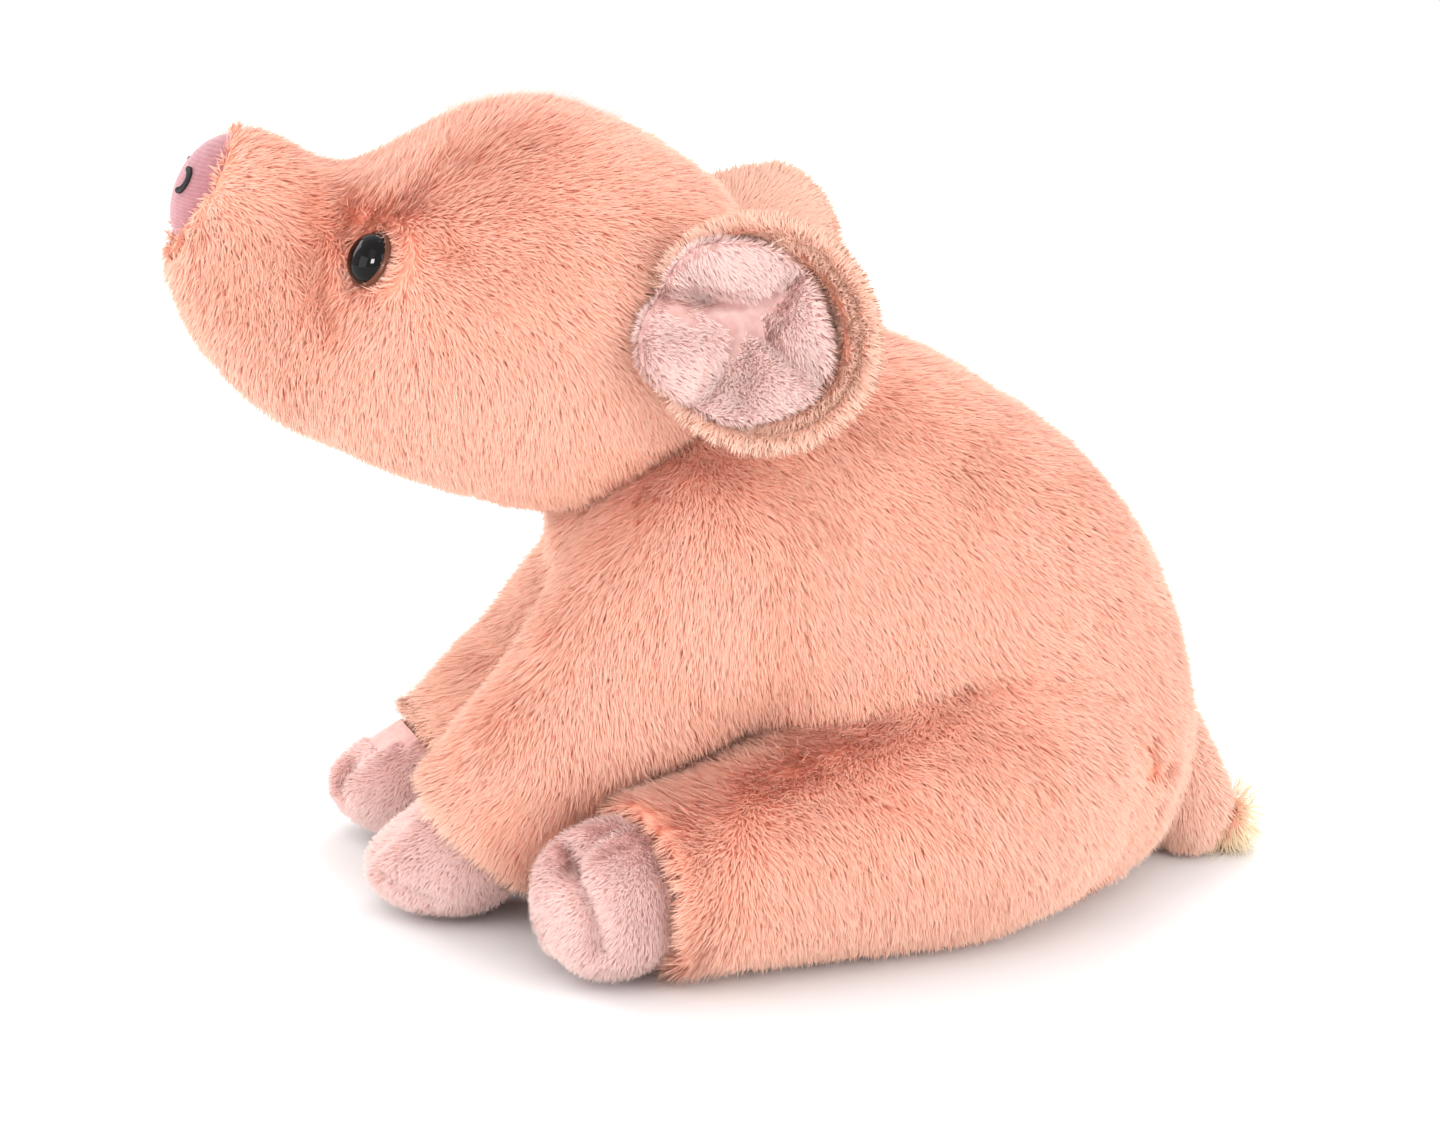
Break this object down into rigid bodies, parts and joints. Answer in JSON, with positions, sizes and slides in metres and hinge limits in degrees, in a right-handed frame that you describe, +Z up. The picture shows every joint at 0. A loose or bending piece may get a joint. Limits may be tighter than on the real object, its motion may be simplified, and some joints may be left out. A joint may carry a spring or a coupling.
{
  "type": "plush pig",
  "caption": "Sitting soft-toy pig of long-pile fabric over stuffing, head raised, with lined ears, cleft hooves, button eyes and a tufted tail.",
  "frame": {"origin": "middle of the flat patch under the seat, on the surface that the pig sits on", "axes": "+Z up, the pig faces -X, its left side is at -Y"},
  "size_m": [0.3197, 0.196, 0.2119],
  "materials": {
    "fur": "long soft pile, peach pink",
    "hoof_plush": "short plush, dusty mauve pink",
    "ear_lining": "short plush, dusty mauve pink",
    "nose_knit": "smooth short-pile knit, rose pink",
    "thread": "black embroidery thread",
    "eye_plastic": "glossy black dome with a dark brown rim",
    "washer_plastic": "natural white, hidden inside the head",
    "tuft_fibre": "long loose fibres, pale yellow",
    "stuffing": "polyester fibre filling, hidden"
  },
  "bodies": {
    "body": {"body_fur": "fur", "body_stuffing": "stuffing", "head_fur": "fur", "head_stuffing": "stuffing", "nose_pad": "nose_knit", "nostril_left": "thread", "nostril_right": "thread", "eye_left": "eye_plastic", "eye_right": "eye_plastic", "eye_washer_left": "washer_plastic", "eye_washer_right": "washer_plastic"},
    "ear_left": {"ear_back_left": "fur", "ear_lining_left": "ear_lining"},
    "ear_right": {"ear_back_right": "fur", "ear_lining_right": "ear_lining"},
    "front_leg_left": {"front_leg_left": "fur", "front_hoof_left": "hoof_plush"},
    "front_leg_right": {"front_leg_right": "fur", "front_hoof_right": "hoof_plush"},
    "rear_leg_left": {"rear_leg_left": "fur", "rear_hoof_left": "hoof_plush"},
    "rear_leg_right": {"rear_leg_right": "fur", "rear_hoof_right": "hoof_plush"},
    "tail": {"tail": "fur", "tail_tuft": "tuft_fibre"}
  },
  "joints": [
    {"name": "ear_left_fold", "type": "hinge", "parent": "body", "child": "ear_left", "pos_m": [-0.10721, -0.04539, 0.17406], "axis": [-0.3468, 0.0487, -0.9367], "range_deg": [-8, 42], "stiffness_Nm_per_rad": 0.01},
    {"name": "ear_right_fold", "type": "hinge", "parent": "body", "child": "ear_right", "pos_m": [-0.09535, 0.039, 0.17406], "axis": [0.3306, -0.0465, 0.9426], "range_deg": [-8, 42], "stiffness_Nm_per_rad": 0.01},
    {"name": "front_leg_left_swing", "type": "hinge", "parent": "body", "child": "front_leg_left", "pos_m": [-0.08645, -0.03701, 0.097], "axis": [0, 1, 0], "range_deg": [0, 16], "stiffness_Nm_per_rad": 0.6},
    {"name": "front_leg_right_swing", "type": "hinge", "parent": "body", "child": "front_leg_right", "pos_m": [-0.07125, 0.03701, 0.097], "axis": [0, 1, 0], "range_deg": [0, 16], "stiffness_Nm_per_rad": 0.6},
    {"name": "rear_leg_left_splay", "type": "hinge", "parent": "body", "child": "rear_leg_left", "pos_m": [0.02001, -0.052, 0.035], "axis": [0, 0, 1], "range_deg": [0, 25], "stiffness_Nm_per_rad": 0.3},
    {"name": "rear_leg_right_splay", "type": "hinge", "parent": "body", "child": "rear_leg_right", "pos_m": [0.02001, 0.052, 0.035], "axis": [0, 0, -1], "range_deg": [0, 25], "stiffness_Nm_per_rad": 0.3},
    {"name": "tail_swing", "type": "hinge", "parent": "body", "child": "tail", "pos_m": [0.06251, 0, 0.042], "axis": [0, -1, 0], "range_deg": [0, 60], "stiffness_Nm_per_rad": 0.01}
  ]
}
